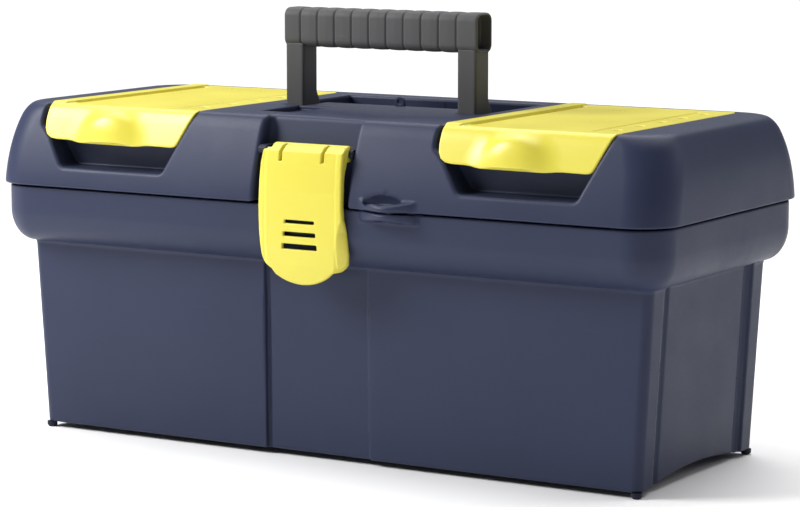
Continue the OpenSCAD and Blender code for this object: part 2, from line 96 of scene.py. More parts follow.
# The lid: a dome whose sides lean in, with the edge of its top rounded.
RIM_X, RIM_Y = LID_HIGH[0], LID_HIGH[1]
LID_FOOT, LID_TOP = LID_LOW[2], LID_HIGH[2]
SLOPE_X, SLOPE_Y, EDGE = 7.6, 13.0, 8.0
LID_R = 22.0
CORE_GAP = 4
POCKET_LEFT, POCKET_RIGHT, POCKET_FRONT, POCKET_REAR, POCKET_DEEP = -48, -28, -52, -16, 2.8
DISH_X, DISH_Y, DISH_R, DISH_OUT = 20, -44, 300, 298.9

# The padlock eye: one tab on the tub and one on the lid.
EYE_X = middle_of("padlock_tab_lower")[0]
EYE_HALF = 17.6
EYE_FRONT = -EYE_LOW[1]
EYE_THICK = EYE_HIGH[2] - EYE_LOW[2]
EYE_SEAT = RIM_Y - 3.8
EYE_LEAN = 2.6
BITE_X, BITE_Y, BITE_Z = 11, 3.2, 4.6
SHACKLE_X, SHACKLE_R = 49.5, 3.0
SHACKLE_Y = -(EYE_FRONT - SHACKLE_R - 2.7)

# The rear hinges.
HINGE_X = 110.0
_, HINGE_Y, HINGE_Z = middle_of("hinge_pins")
KNUCKLE_R, KNUCKLE_W, KNUCKLE_STEP, KNUCKLE_GAP = 3.9, 12.0, 12.5, 0.6

# The latch and the bay that it hangs in.
BAY_LEFT, BAY_RIGHT = LATCH_PIN_LOW[0], LATCH_PIN_HIGH[0]
BAY_TOP_Y, BAY_LOW_Y = RIM_Y - 20, RIM_Y - 10
_, LATCH_Y, LATCH_Z = middle_of("latch_pin")
LATCH_MID, LATCH_HALF = -0.8, 24.4
BARREL_R = 4.2
LATCH_FACE, LATCH_BACK = -(RIM_Y + 2.4), -RIM_Y
LATCH_TIP = LATCH_LOW[2]
LATCH_SHOULDER = LATCH_TIP + 8
SLOT_Z, SLOT_PITCH, SLOT_HALF, SLOT_HIGH = 127.8, 6.4, 9, 0.9
SLITS = (-12.6, 12.8)

# The organisers: a cover over a finger recess and a bin.
COVER_X = middle_of("organiser_lid_right")[0]
COVER_HALF = (COVER_HIGH[0] - COVER_LOW[0]) / 2
_, AXIS_Y, AXIS_Z = middle_of("organiser_pins")
PLATE = 2.4
SEAT_Z = LID_TOP - PLATE - 0.2
SEAT_GAP = 0.5
BIN_HALF = COVER_HALF - 1.4
BIN_FRONT, BIN_REAR = BIN_LOW[1], BIN_HIGH[1]
SCOOP_BACK = BIN_FRONT - 2.2
COVER_RIM, COVER_RIM_RIGHT = 1.2, -38.4
LIFT_X, LIFT_Y, LIFT_Z = -4.5, -78.2, 161.2
LIFT_RX, LIFT_RY, LIFT_RZ = 17.5, 6.7, 15.6
FLAP_LOW = 161.6
DOTS, DOT_X, DOT_R, DOT_OUT = 4, 38, 2.9, 0.8
DOT_FIRST, DOT_LAST = -RIM_Y + 36, AXIS_Y - 18

# The handle and the trough that it folds into.
_, PIVOT_Y, PIVOT_Z = middle_of("handle_pins")
HANDLE_HALF, LEG_T, LEG_R = size_of("handle_legs")[1][0], 11.8, 7.0
LEG_IN = HANDLE_HALF - LEG_T
HEEL = 3.4
GRIP_Z, GRIP_TOP = GRIP_LOW[2], GRIP_HIGH[2]
GRIP_PITCH, GRIP_SHIFT, GRIP_SWELL, GRIP_GROOVE = 10.7, 1, 0.3, 0.5
TROUGH_FLOOR, TROUGH_HALF, TROUGH_STEP = 161.0, HANDLE_HALF + 2.4, 10.0
TROUGH_REAR = GRIP_TOP - PIVOT_Z + PIVOT_Y + 2.5
SLOT_FRONT, SLOT_IN = PIVOT_Y - LEG_R - 0.8, LEG_IN - 0.4

# The tray, which hangs from the ledge by its flange.
TRAY_GAP, TRAY_WALL = 1.2, 1.8


# ---- distance fields ----


def smax(a, b, k):
    """The higher of two fields, with the corner between them rounded over about k millimetres."""
    h = np.maximum(k - np.abs(a - b), 0) / k
    return np.maximum(a, b) + h * h * (k / 4)


def smin(a, b, k):
    """The lower of two fields, which joins two shapes with a fillet of about k."""
    return -smax(-a, -b, k)


def cut(a, b, k):
    """Shape a with shape b taken out of it."""
    return smax(a, -b, k)


def slab(v, low, high):
    """The space between two parallel planes."""
    return np.abs(v - (low + high) / 2) - (high - low) / 2


def rrect(x, y, hx, hy, r):
    """A rectangle of half sizes hx and hy with corners of radius r."""
    qx = np.abs(x) - hx + r
    qy = np.abs(y) - hy + r
    return np.hypot(np.maximum(qx, 0), np.maximum(qy, 0)) + np.minimum(np.maximum(qx, qy), 0) - r


def brick(x, y, z, x0, x1, y0, y1, z0, z1):
    """A box between six planes."""
    qx, qy, qz = slab(x, x0, x1), slab(y, y0, y1), slab(z, z0, z1)
    out = np.sqrt(np.maximum(qx, 0) ** 2 + np.maximum(qy, 0) ** 2 + np.maximum(qz, 0) ** 2)
    return out + np.minimum(np.maximum(np.maximum(qx, qy), qz), 0)


def convex(px, py, points, k):
    """A convex outline through points given anticlockwise, its corners rounded over k."""
    field = None
    for (ax, ay), (bx, by) in zip(points, points[1:] + points[:1]):
        length = math.hypot(bx - ax, by - ay)
        side = ((by - ay) * (px - ax) - (bx - ax) * (py - ay)) / length
        field = side if field is None else smax(field, side, k)
    return field


def outline(px, py, points):
    """The exact distance to any closed outline."""
    px, py = np.broadcast_arrays(px, py)
    best = np.full(px.shape, 1e12)
    sign = np.ones(px.shape)
    for (ax, ay), (bx, by) in zip(points, points[1:] + points[:1]):
        ex, ey = bx - ax, by - ay
        wx, wy = px - ax, py - ay
        t = np.clip((wx * ex + wy * ey) / (ex * ex + ey * ey), 0, 1)
        best = np.minimum(best, (wx - ex * t) ** 2 + (wy - ey * t) ** 2)
        above, below, left = py >= ay, py < by, ex * wy > ey * wx
        flip = (above & below & left) | ~(above | below | left)
        sign = np.where(flip, -sign, sign)
    return sign * np.sqrt(best)


def rounded(corners, steps=4):
    """Outline points with each (x, y, radius) corner rounded over."""
    points = []
    for i, (x, y, r) in enumerate(corners):
        corner = Vector((x, y))
        back = Vector(corners[i - 1][:2]) - corner
        ahead = Vector(corners[(i + 1) % len(corners)][:2]) - corner
        if r == 0:
            points.append((x, y))
            continue
        reach = r / math.tan(back.angle(ahead) / 2)
        start, end = corner + back.normalized() * reach, corner + ahead.normalized() * reach
        for k in range(steps + 1):
            t = k / steps
            at = start * (1 - t) ** 2 + corner * 2 * t * (1 - t) + end * t * t
            points.append((at.x, at.y))
    return points


# ---- from a field to a mesh ----


def surface(field, low, high, cell):
    """Surface nets: one point in each grid cell that the surface crosses, then pulled onto it."""
    low = np.array(low, float) - 1.6 * cell
    counts = np.ceil((np.array(high, float) + 1.6 * cell - low) / cell).astype(int) + 1
    axes = [low[i] + cell * np.arange(counts[i]) for i in range(3)]
    grid = field(axes[0][:, None, None], axes[1][None, :, None], axes[2][None, None, :])
    grid = np.broadcast_to(grid, counts).astype(np.float32)
    inside = grid < 0
    corners = [(i, j, k) for i in (0, 1) for j in (0, 1) for k in (0, 1)]
    span = [slice(0, -1), slice(1, None)]
    total = sum(inside[span[i], span[j], span[k]].astype(np.int8) for i, j, k in corners)
    active = (total > 0) & (total < 8)
    index = np.full(active.shape, -1, np.int64)
    index[active] = np.arange(int(active.sum()))
    cells = np.argwhere(active)
    values = np.stack(
        [grid[cells[:, 0] + i, cells[:, 1] + j, cells[:, 2] + k] for i, j, k in corners], 1
    ).astype(float)
    place = np.zeros((len(cells), 3))
    crossings = np.zeros(len(cells))
    for a, ca in enumerate(corners):
        for b, cb in enumerate(corners):
            if a < b and sum(abs(np.array(ca) - np.array(cb))) == 1:
                va, vb = values[:, a], values[:, b]
                crossed = (va < 0) != (vb < 0)
                t = np.where(crossed, va / np.where(crossed, va - vb, 1), 0)
                at = np.array(ca) + (np.array(cb) - np.array(ca)) * t[:, None]
                place += at * crossed[:, None]
                crossings += crossed
    points = low + cell * (cells + place / crossings[:, None])
    quads = []
    for a in range(3):
        b, c = (a + 1) % 3, (a + 2) % 3
        first, second = [slice(None)] * 3, [slice(None)] * 3
        first[a], second[a] = slice(0, -1), slice(1, None)
        changed = inside[tuple(first)] != inside[tuple(second)]
        edges = np.argwhere(changed)
        edges = edges[
            (edges[:, b] > 0)
            & (edges[:, c] > 0)
            & (edges[:, b] < counts[b] - 1)
            & (edges[:, c] < counts[c] - 1)
        ]
        outward = inside[tuple(edges.T)]
        ring = []
        for db, dc in ((1, 1), (0, 1), (0, 0), (1, 0)):
            at = edges.copy()
            at[:, b] -= db
            at[:, c] -= dc
            ring.append(index[tuple(at.T)])
        quad = np.stack(ring, 1)
        quads.append(np.where(outward[:, None], quad, quad[:, ::-1]))
    for _ in range(3):
        normal, value, slope = gradient(field, points)
        move = np.clip(value / slope, -0.5 * cell, 0.5 * cell)
        points -= normal * move[:, None]
    return points, np.concatenate(quads)


def gradient(field, points, step=0.04):
    """Unit normals, field values and slopes at the points."""
    x, y, z = points.T
    g = np.stack(
        [
            field(x + step, y, z) - field(x - step, y, z),
            field(x, y + step, z) - field(x, y - step, z),
            field(x, y, z + step) - field(x, y, z - step),
        ],
        1,
    ) / (2 * step)
    slope = np.maximum(np.linalg.norm(g, axis=1), 1e-3)
    return g / slope[:, None], field(x, y, z), slope


def moulding(name, field, low, high, cell, keep, body, material, nodes):
    """One moulded piece of the object from its field, thinned to the share keep of its faces."""
    points, quads = surface(field, low, high, cell)
    mesh = bpy.data.meshes.new(name)
    mesh.vertices.add(len(points))
    mesh.vertices.foreach_set("co", (points * MM).astype(np.float32).ravel())
    mesh.loops.add(quads.size)
    mesh.loops.foreach_set("vertex_index", quads.astype(np.int32).ravel())
    mesh.polygons.add(len(quads))
    mesh.polygons.foreach_set("loop_start", np.arange(0, quads.size, 4, dtype=np.int32))
    mesh.update(calc_edges=True)
    mesh.validate()
    piece = bpy.data.objects.new(name, mesh)
    bpy.context.scene.collection.objects.link(piece)
    thin = piece.modifiers.new("thin", "DECIMATE")
    thin.ratio = keep
    graph = bpy.context.evaluated_depsgraph_get()
    thinned = bpy.data.meshes.new_from_object(piece.evaluated_get(graph))
    piece.modifiers.clear()
    piece.data = thinned
    bpy.data.meshes.remove(mesh)
    co = np.zeros(len(thinned.vertices) * 3, np.float32)
    thinned.vertices.foreach_get("co", co)
    normal, _, _ = gradient(field, co.reshape(-1, 3).astype(float) / MM)
    thinned.polygons.foreach_set("use_smooth", np.ones(len(thinned.polygons), bool))
    thinned.normals_split_custom_set_from_vertices(normal.tolist())
    thinned.name = name
    piece.data.materials.append(material)
    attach(piece, body)
    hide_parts(*nodes)


# ---- the tub ----


def wall_half(z):
    """Half sizes of the tapering walls at height z."""
    t = z / CREASE
    return FOOT_X + (WALL_X - FOOT_X) * t, FOOT_Y + (WALL_Y - FOOT_Y) * t


def shoulder(z):
    """How far the band has swelled out at height z, from 0 to 1, along a quarter ellipse."""
    return np.sin(np.arccos(1 - np.clip((z - CREASE) / SHOULDER_RISE, 0, 1)))


def tub(x, y, z):
    # Walls, with sunken panels between the corner posts.
    hx, hy = wall_half(z)
    wall = rrect(x, y, hx, hy, WALL_R)
    inner = rrect(x, y, hx - PANEL_DEPTH, hy - PANEL_DEPTH, WALL_R - PANEL_DEPTH)
    front = smax(slab(x, PANEL_LEFT, PANEL_RIGHT), y + 0 * x, 0.5)
    ends = smax(np.abs(y) - (FOOT_Y - POST), FOOT_X - POST_LENGTH - np.abs(x), 0.5)
    wall = cut(wall, np.minimum(front, ends), 1.3)
    body = smin(wall, inner, 1.2)
    body = smax(body, z - WALL_TOP, 1.0)

    # The shoulder band.
    s = shoulder(z)
    band = rrect(
        x, y, WALL_X + BAND_OUT_X * s, WALL_Y + BAND_OUT_Y * s, WALL_R + (BAND_R - WALL_R) * s
    )
    band = smax(band, CREASE - z, 1.2)
    body = smin(body, band, 2.2)
    body = smax(smax(body, FOOT_H - z, 1.6), z - TUB_TOP, 1.4)

    # The hollow, wider above the ledge that carries the tray.
    hollow = rrect(x, y, hx - TUB_INSET, hy - TUB_INSET, 3.0)
    hollow = smax(hollow, FLOOR_UNDER + WALL - z, 4.0)
    hollow = smax(hollow, z - LEDGE - 1, 1.0)
    f = shoulder(LEDGE)
    t = np.clip((z - LEDGE) / (CREASE + SHOULDER_RISE - LEDGE), 0, 1)
    mouth = rrect(
        x,
        y,
        WALL_X + BAND_OUT_X * (f + (1 - f) * t) - WALL,
        WALL_Y + BAND_OUT_Y * (f + (1 - f) * t) - WALL,
        WALL_R + (BAND_R - WALL_R) * f - WALL + 4 * t,
    )
    mouth = smax(mouth, LEDGE - z, 1.2)
    body = cut(body, smin(hollow, mouth, 1.2), 1.4)

    # The raised underside, and the arch under each end wall.
    long_way = smax(
        np.abs(x) - (FOOT_X - UNDER_CORNER), np.abs(y) - (FOOT_Y - TUB_INSET), 1.0
    )
    wide_way = smax(
        np.abs(x) - (FOOT_X - TUB_INSET), np.abs(y) - (FOOT_Y - UNDER_CORNER), 1.0
    )
    under = smax(np.minimum(long_way, wide_way), z - FLOOR_UNDER, 1.4)
    body = cut(body, under, 1.0)
    arch = np.hypot(y, z - (FOOT_H + ARCH_RISE - ARCH_R)) - ARCH_R
    arch = smax(arch, FOOT_X - ARCH_LENGTH - np.abs(x), 1.0)
    body = cut(body, arch, 1.4)

    # The groove at the left of the front panel, and a flute beside each corner post.
    groove = smax(slab(x, GROOVE_LEFT, GROOVE_RIGHT), y + hy - PANEL_DEPTH - GROOVE_DEPTH, 0.6)
    body = cut(body, smax(groove, z - CREASE - 1, 0.5), 0.8)
    flute_y = np.abs(y) - (FOOT_Y - POST - FLUTE_IN)
    flute_x = np.abs(x) - hx + PANEL_DEPTH - FLUTE_OUT
    flute = np.hypot(flute_y / FLUTE_R, flute_x / FLUTE_R) - 1
    body = cut(body, smax(flute * FLUTE_R, z - CREASE - 1, 0.5), 0.6)

    body = smin(body, padlock_tab(x, y, z, EYE_LOW[2], False), 1.6)
    return cut(body, np.hypot(x - SHACKLE_X, y - SHACKLE_Y) - SHACKLE_R, 0.7)


# ---- the lid ----


def dome(x, y, z, inset):
    """The lid's outer shape, drawn in by inset."""
    top = LID_TOP - inset
    u = np.clip((z - LID_FOOT) / (top - LID_FOOT), 0, 1)
    start = 1 - EDGE / (LID_TOP - LID_FOOT)
    arc = EDGE * (1 - np.sqrt(np.maximum(1 - (np.maximum(u - start, 0) / (1 - start)) ** 2, 0)))
    hx = RIM_X - SLOPE_X * u**3 - 0.45 * arc - inset
    hy = RIM_Y - SLOPE_Y * u**1.35 - 0.3 * arc - inset
    return smax(rrect(x, y, hx, hy, LID_R - inset), z - top, 2.0)


def bay(x, y, z, grow):
    """The sloping recess behind the latch."""
    slope = (BAY_TOP_Y - BAY_LOW_Y) / (LID_TOP - LID_FOOT)
    back = y + BAY_LOW_Y - grow + slope * (z - LID_FOOT)
    return smax(slab(x, BAY_LEFT - grow, BAY_RIGHT + grow), back / math.hypot(1, slope), 3.0)


# The finger recess and the flap above it, seen from the front: (x, z, corner radius), with x
# from the middle of the cover. Both run on upwards past the lid.
ABOVE = 260
SCOOP = rounded(
    [
        (-33, 147, 5),
        (33, 147, 4),
        (COVER_HALF + SEAT_GAP, LID_TOP - 1, 0),
        (COVER_HALF + SEAT_GAP, ABOVE, 0),
        (-COVER_HALF - 2.2, ABOVE, 0),
        (-COVER_HALF - 2.2, 169, 4),
        (-42.9, 162, 0),
    ]
)
FLAP = rounded(
    [
        (-COVER_HALF + 0.1, FLAP_LOW, 9.0),
        (39.6, 160.6, 5.0),
        (COVER_HALF, LID_TOP - 1, 0),
        (COVER_HALF, ABOVE, 0),
        (-COVER_HALF + 0.1, ABOVE, 0),
    ]
)


def eye_plan(x, y, seat):
    """Plan of a padlock tab: a blunt arrowhead whose point is right of its middle."""
    half = EYE_HALF
    points = [
        (EYE_X - half, -seat),
        (EYE_X - half, -EYE_FRONT + 8.6),
        (EYE_X - half + 4, -EYE_FRONT + 5.4),
        (EYE_X - 2, -EYE_FRONT + 0.2),
        (EYE_X + 3, -EYE_FRONT + 0.2),
        (EYE_X + half - 2, -EYE_FRONT + 6.6),
        (EYE_X + half, -seat),
    ]
    return convex(x, y, points, 2.6)


def lid(x, y, z):
    # Solid blocks stand wherever something is cut into the lid, and its shell joins them up.
    outer = smax(dome(x, y, z, 0.0), LID_FOOT - z, 1.0)
    ax = x - np.where(x < 0, -COVER_X, COVER_X)
    mx = np.abs(x)
    blocks = bay(x, y, z, WALL)
    eye_block = brick(
        x, y, z, EYE_X - EYE_HALF - 5, EYE_X + EYE_HALF + 5, -FAR, -EYE_SEAT + 5.6,
        LID_FOOT - 9, LID_FOOT + 16
    )
    blocks = np.minimum(blocks, eye_block)
    pocket_block = brick(
        x, y, z, POCKET_LEFT - 3, POCKET_RIGHT + 3, POCKET_FRONT - 3, POCKET_REAR + 3,
        LID_TOP - 6, FAR
    )
    blocks = np.minimum(blocks, pocket_block)
    rim = brick(
        ax, y, z, -COVER_HALF - 5, COVER_HALF + 5, SCOOP_BACK - 1, AXIS_Y + 6.4, LID_TOP - 9, FAR
    )
    cup = smax(outline(ax, z, SCOOP) - 2.2, y - BIN_FRONT, 1.0)
    trough = brick(
        mx, y, z, -1, TROUGH_HALF + 2.2, SLOT_FRONT - 2.2, TROUGH_REAR + 2.2,
        TROUGH_FLOOR - 2.2, FAR
    )
    blocks = np.minimum(np.minimum(blocks, rim), np.minimum(cup, trough))
    body = smax(outer, smin(-dome(x, y, z, WALL), blocks, 1.6), 0.8)

    # The latch bay, the padlock tab and the bite above it.
    body = cut(body, bay(x, y, z, 0.0), 2.6)
    body = smin(body, padlock_tab(x, y, z, LID_FOOT, True), 1.6)
    bite = (
        ((x - EYE_X + 3) / BITE_X) ** 2
        + ((y + RIM_Y) / BITE_Y) ** 2
        + ((z - LID_FOOT - EYE_THICK + 1) / BITE_Z) ** 2
    )
    bite = smax((np.sqrt(bite) - 1) * BITE_Y, LID_FOOT + EYE_THICK - EYE_LEAN - z, 0.6)
    body = cut(body, bite, 0.8)
    body = cut(body, np.hypot(x - SHACKLE_X, y - SHACKLE_Y) - SHACKLE_R, 0.7)

    # Under each cover: the finger recess, the plate's seat, the bin's well, the hinge notch.
    body = cut(body, smax(outline(ax, z, SCOOP), y - SCOOP_BACK, 1.6), 2.0)
    seat = smax(
        smax(np.abs(ax) - COVER_HALF - SEAT_GAP, y - AXIS_Y, 0.5), SEAT_Z - z, 0.6
    )
    body = cut(body, seat, 0.9)
    body = cut(body, smax(np.abs(ax) - BIN_HALF, slab(y, BIN_FRONT, BIN_REAR), 1.0), 0.8)
    notch = brick(
        ax, y, z, -COVER_HALF - SEAT_GAP, COVER_HALF + SEAT_GAP, BIN_REAR - 1, AXIS_Y + 4,
        AXIS_Z - 3.7, FAR
    )
    body = cut(body, notch, 0.8)

    # The handle's trough, the holes for its stubs, and the hollow under the platform.
    rear = brick(mx, y, z, -1, TROUGH_HALF, TROUGH_STEP, TROUGH_REAR, TROUGH_FLOOR, FAR)
    slot = brick(mx, y, z, SLOT_IN, TROUGH_HALF, SLOT_FRONT, TROUGH_REAR, TROUGH_FLOOR, FAR)
    body = cut(body, np.minimum(rear, slot), 1.8)
    stub = np.hypot(y - PIVOT_Y, z - PIVOT_Z) - 2.5
    body = cut(body, np.maximum(stub, slab(mx, SLOT_IN - 8, TROUGH_HALF + 1.8)), 0.4)
    core = brick(
        mx, y, z, -1, SLOT_IN - 2.2, SLOT_FRONT - 5, TROUGH_STEP - 2.2,
        0, LID_TOP - WALL - CORE_GAP
    )
    body = cut(body, core, 0.8)

    # The sweep of the tub's knuckles, and the two shallow sinkings in the top.
    kx = np.abs(mx - HINGE_X) - KNUCKLE_STEP
    sweep = np.maximum(
        np.hypot(y - HINGE_Y, z - HINGE_Z) - KNUCKLE_R - KNUCKLE_GAP,
        np.abs(kx) - KNUCKLE_W / 2 - 0.4,
    )
    body = cut(body, sweep, 0.6)
    pocket = brick(
        x, y, z, POCKET_LEFT, POCKET_RIGHT, POCKET_FRONT, POCKET_REAR, LID_TOP - POCKET_DEEP, FAR
    )
    body = cut(body, pocket, 1.0)
    dish = (x - DISH_X) ** 2 + (y - DISH_Y) ** 2 + (z - LID_TOP - DISH_OUT) ** 2
    return cut(body, np.sqrt(dish) - DISH_R, 0.8)


def padlock_tab(x, y, z, bottom, upper):
    """A tab of the padlock eye, which thins towards its point on the side away from the other."""
    seat = EYE_SEAT if upper else BAND_Y - 2
    plan = eye_plan(x, y, seat)
    reach = np.clip((-y - RIM_Y) / (EYE_FRONT - RIM_Y), 0, 1)
    if upper:
        low, high = bottom + 0 * reach, bottom + EYE_THICK - EYE_LEAN * reach**1.3
    else:
        low, high = bottom + 2.4 * reach**1.3, bottom + EYE_THICK + 0 * reach
    return smax(smax(plan, z - high, 1.4), low - z, 1.4)


# ---- the latch ----

# The latch's outline seen from the front, as (x, z), anticlockwise from the top left: the left
# edge, the round tongue, the right edge that flares out low down, and the top. Right of the
# crease the plate leans back.
FLARE = [(21.6, 103), (24.4, 105), (26.0, 107), (26.7, 112), (26.2, 118.5), (25.4, 125),
         (24.7, 131), (24.3, 137), (24.3, 150), (24.4, 159), (24.4, 163)]
FLARE_X, FLARE_Z = zip(*FLARE)
LEAN_X, LEAN_Z = zip((19.0, 104), (20.0, 112), (21.4, 120), (23.2, 128), (27.0, 134))
LEAN_BACK, LEFT_BACK, BOW_BACK = 2.8, 0.9, 0.5
LEFT_EDGE = [(-20.0, 167.3), (-20.0, 165.2), (-23.8, 164.0), (-25.0, 157), (-25.8, 148),
             (-26.2, 135), (-25.8, 122), (-24.6, 110), (-22.6, 105), (-18.9, 102.6)]
TONGUE_HALF, TONGUE_CHORD, TONGUE_RISE = 16, 20.0, 8
TONGUE_R = (TONGUE_CHORD**2 + TONGUE_RISE**2) / (2 * TONGUE_RISE)


def tongue(t):
    return LATCH_MID + t, LATCH_TIP + TONGUE_R - math.sqrt(TONGUE_R**2 - t * t)


LATCH_EDGE = LEFT_EDGE + [tongue(t) for t in range(-TONGUE_HALF, TONGUE_HALF + 1, 2)]
LATCH_EDGE += [(18.4, 102.4)] + FLARE + [(24.4, 165.4), (23.6, 167.3)]


def latch(x, y, z):
    b, f, k, s = LATCH_Y, LATCH_FACE, LATCH_BACK, LATCH_SHOULDER
    left, right = LATCH_MID - LATCH_HALF, LATCH_MID + LATCH_HALF
    face = outline(x, z, LATCH_EDGE)

    # How far each point of the face leans back: at the flare, the left edge and by its bow.
    outer = np.interp(z, FLARE_Z, FLARE_X)
    crease = np.interp(z, LEAN_Z, LEAN_X)
    flare = np.clip((x - crease) / np.maximum(outer - crease, 3.4), 0, 1)
    back_off = LEAN_BACK * flare ** 1.4
    back_off = back_off + LEFT_BACK * np.clip((left + 4.6 - x) / 4.6, 0, 1)
    back_off = back_off + BOW_BACK * ((x - LATCH_MID) / LATCH_HALF) ** 2

    # The plate, from its section seen from the side.
    skin = outline(
        y - back_off,
        z,
        [
            (b, LATCH_Z + BARREL_R - 0.1),
            (b - 4.6, LATCH_Z + 3.6),
            (f + 2.0, LATCH_Z + 0.6),
            (f + 0.9, LATCH_Z - 6),
            (f + 0.2, LATCH_Z - 20),
            (f, LATCH_Z - 34),
            (f, s + 12),
            (f + 1.2, s + 2),
            (f + 3.4, LATCH_TIP - 1),
            (k + 3.4, LATCH_TIP - 1),
            (k + 1.2, s + 2),
            (k, s + 12),
            (k, LATCH_Z - 26),
            (k + 1.0, LATCH_Z - 14),
            (b - 3.0, LATCH_Z - 3),
        ],
    )
    plate = smax(skin + 0.05, face, 1.1)

    # The side walls that run back from the plate to the lid, and the barrel at the top.
    side = outline(
        y - back_off,
        z,
        [
            (b - 4.6, LATCH_Z + 2.6),
            (f + 2.0, LATCH_Z + 0.6),
            (f + 0.9, LATCH_Z - 6),
            (f, LATCH_Z - 34),
            (f, s + 12),
            (f + 1, s + 3),
            (-BAND_Y - 0.8, s + 3),
            (-BAND_Y - 0.8, LID_FOOT),
            (b - 1, LID_FOOT + 10),
            (b + 2, LATCH_Z - 3.4),
            (b, LATCH_Z),
        ],
    )
    wings = smax(smax(side, face, 1.2), np.minimum(x - left - 2, right - 2 - x), 0.5)
    wings = smax(wings, y + BAND_Y + 0.8, 0.5)
    barrel = np.hypot(y - b, z - LATCH_Z)
    barrel_wall = smax(barrel - BARREL_R, slab(x, left + 4.2, right), 0.8)
    body = smin(smin(plate, wings, 1.0), barrel_wall, 0.6)
    body = cut(body, barrel - 1.6, 0.5)

    # Three slots that grow downwards, and two slits at the top.
    for i in range(3):
        half, high = SLOT_HALF + 0.75 * i, SLOT_HIGH + 0.25 * i
        hole = rrect(x + 0.6, z - SLOT_Z + SLOT_PITCH * i, half, high, 0.6)
        body = cut(body, np.maximum(hole, y - LATCH_BACK - 1.5), 0.8)
    for middle in SLITS:
        slit = np.maximum(np.abs(x - middle) - 0.9, LATCH_Z - 4.5 - z)
        body = cut(body, np.maximum(slit, y - b + 1), 0.5)
    return body


# ---- organiser covers ----


def cover(side):
    cx = side * COVER_X

    def field(x, y, z):
        # The plate and its front flap follow the lid's dome.
        shell = smax(dome(x, y, z, 0.0), -dome(x, y, z, PLATE), 0.9)
        plate = smax(smax(shell, outline(x - cx, z, FLAP), 1.0), y - AXIS_Y, 0.5)
        edge = slab(x - cx, -COVER_HALF + 0.3, COVER_RIM_RIGHT)
        rim = smax(dome(x, y, z, -COVER_RIM), edge, 0.7)
        rim = smax(rim, -dome(x, y, z, PLATE), 0.5)
        plate = smin(plate, smax(rim, slab(y, -RIM_Y + 15, AXIS_Y - 1), 2.4), 1.2)

        # The thumb lift swells out of the flap.
        lift = np.sqrt(
            ((x - cx - LIFT_X) / LIFT_RX) ** 2
            + ((y - LIFT_Y) / LIFT_RY) ** 2
            + ((z - LIFT_Z) / LIFT_RZ) ** 2
        )
        lift = smax((lift - 1) * 7.0, FLAP_LOW - z, 1.0)
        body = smin(plate, smax(lift, -dome(x, y, z, PLATE), 0.5), 4.6)

        # Two sunken lines and a row of dimples along the top.
        run = slab(y, -RIM_Y + 24, AXIS_Y - 8)
        step_line = smax(slab(x - cx, -38.2, -35.4), run, 1.6)
        body = cut(body, smax(step_line, LID_TOP - 1.6 - z, 0.6), 0.7)
        low_line = smax(slab(x - cx, 29.6, 31.4), run, 1.0)
        body = cut(body, smax(low_line, LID_TOP - 0.7 - z, 0.6), 0.7)
        barrel = np.hypot(y - AXIS_Y, z - AXIS_Z)
        body = smin(body, smax(barrel - 2.9, np.abs(x - cx) - COVER_HALF + 1, 0.6), 0.8)
        pitch = (DOT_LAST - DOT_FIRST) / DOTS
        nearest = DOT_FIRST + np.clip(np.round((y - DOT_FIRST) / pitch), 0, DOTS) * pitch
        dot = (x - cx - DOT_X) ** 2 + (y - nearest) ** 2 + (z - LID_TOP - DOT_OUT) ** 2
        body = cut(body, np.sqrt(dot) - DOT_R, 0.5)
        return cut(body, barrel - 1.25, 0.3)

    return field


# ---- the handle ----


def grip(x, y, z):
    cy, cz = (GRIP_LOW[1] + GRIP_HIGH[1]) / 2, (GRIP_Z + GRIP_TOP) / 2
    hy, hz = (GRIP_HIGH[1] - GRIP_LOW[1]) / 2, (GRIP_TOP - GRIP_Z) / 2
    section = rrect(y - cy, z - cz, hy, hz, 4.6)
    core = smax(section, np.abs(x) - HANDLE_HALF - 0.8, 2.0)

    # Ten grooves, with slightly swollen segments between them.
    along = x + GRIP_SHIFT
    i = np.clip(np.round(along / GRIP_PITCH - 0.5) + 0.5, -4.5, 4.5)
    from_groove = np.abs(along - i * GRIP_PITCH)
    swell = GRIP_SWELL * np.clip(from_groove / (GRIP_PITCH / 2), 0, 1) ** 0.6
    depth = GRIP_GROOVE * np.exp(-((from_groove / 0.6) ** 2))
    ribbed = core + depth + (GRIP_SWELL - swell) * (np.abs(along) < 53)

    # The moulding pocket in each end.
    pocket = rrect(y - cy, z - cz, hy - 1.3, hz - 1.3, 3.4)
    return cut(ribbed, smax(pocket, HANDLE_HALF - 6 - np.abs(x), 1.0), 0.7)


def leg(side):
    def field(x, y, z):
        across = slab(x * side, LEG_IN + 0.2, HANDLE_HALF - 0.2)
        post = smax(np.abs(y - PIVOT_Y) - LEG_R, slab(z, PIVOT_Z, GRIP_Z + 2), 0.4)
        from_pivot = np.hypot(y - PIVOT_Y, z - PIVOT_Z)
        back = LEG_R + HEEL
        heel = convex(
            y - PIVOT_Y,
            z - PIVOT_Z,
            [(0, -LEG_R + 2), (back, -3), (back, 9), (LEG_R, 14), (0, 14)],
            0.8,
        )
        body = smax(smin(np.minimum(post, from_pivot - LEG_R), heel, 2.0), across, 1.6)
        return cut(body, from_pivot - 2.55, 0.4)

    return field


# ---- the tray ----


